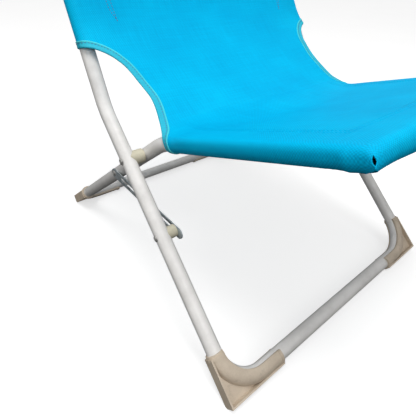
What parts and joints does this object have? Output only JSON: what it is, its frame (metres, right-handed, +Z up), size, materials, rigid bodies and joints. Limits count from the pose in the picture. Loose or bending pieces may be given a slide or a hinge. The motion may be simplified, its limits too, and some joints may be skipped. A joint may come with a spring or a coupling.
{
  "type": "folding camp chair",
  "caption": "Low folding chair: two bent tube frames crossed on a pair of pivots, held open by slotted stays, with a fabric sling for seat and back.",
  "frame": {"origin": "on the floor, in the middle of the chair's width and depth", "axes": "+Z up, -Y the way the sitter faces, -X the sitter's right"},
  "size_m": [0.5206, 0.6693, 0.7262],
  "materials": {
    "tube": "white powder coat, semi-gloss",
    "foot": "moulded, matt",
    "spacer": "moulded, matt",
    "rivet": "zinc plated",
    "stay": "zinc plated, stamped",
    "fabric": "coated woven polyester"
  },
  "bodies": {
    "back_frame": {"side_tube_right": "tube", "side_tube_left": "tube", "front_ground_bar": "tube", "top_bar": "tube", "front_foot_right": "foot", "front_foot_left": "foot", "pivot_rivets": "rivet", "pivot_spacer_right": "spacer", "pivot_spacer_left": "spacer", "stay_pins": "rivet", "stay_spacer_right": "spacer", "stay_spacer_left": "spacer", "sling_back": "fabric", "back_sleeve_right": "fabric", "back_sleeve_left": "fabric", "top_pocket": "fabric"},
    "seat_frame": {"seat_tube_right": "tube", "seat_tube_left": "tube", "rear_ground_bar": "tube", "seat_front_bar": "tube", "rear_foot_right": "foot", "rear_foot_left": "foot", "stay_rivets": "rivet", "sling_seat": "fabric", "seat_sleeve_right": "fabric", "seat_sleeve_left": "fabric", "front_pocket": "fabric"},
    "stay_right": {"stay_strip_right": "stay"},
    "stay_left": {"stay_strip_left": "stay"}
  },
  "joints": [
    {"name": "fold", "type": "hinge", "parent": "back_frame", "child": "seat_frame", "pos_m": [0, 0.0107, 0.26], "axis": [-1, 0, 0], "range_deg": [0, 84]},
    {"name": "stay_right_swing", "type": "hinge", "parent": "seat_frame", "child": "stay_right", "pos_m": [-0.2233, 0.10681, 0.18324], "axis": [1, 0, 0], "range_deg": [0, 42]},
    {"name": "stay_left_swing", "type": "hinge", "parent": "seat_frame", "child": "stay_left", "pos_m": [0.2233, 0.10681, 0.18324], "axis": [1, 0, 0], "range_deg": [0, 42]}
  ],
  "couplings": [
    {"joint": "stay_right_swing", "follows": "fold", "ratio": 0.5},
    {"joint": "stay_left_swing", "follows": "fold", "ratio": 0.5}
  ]
}
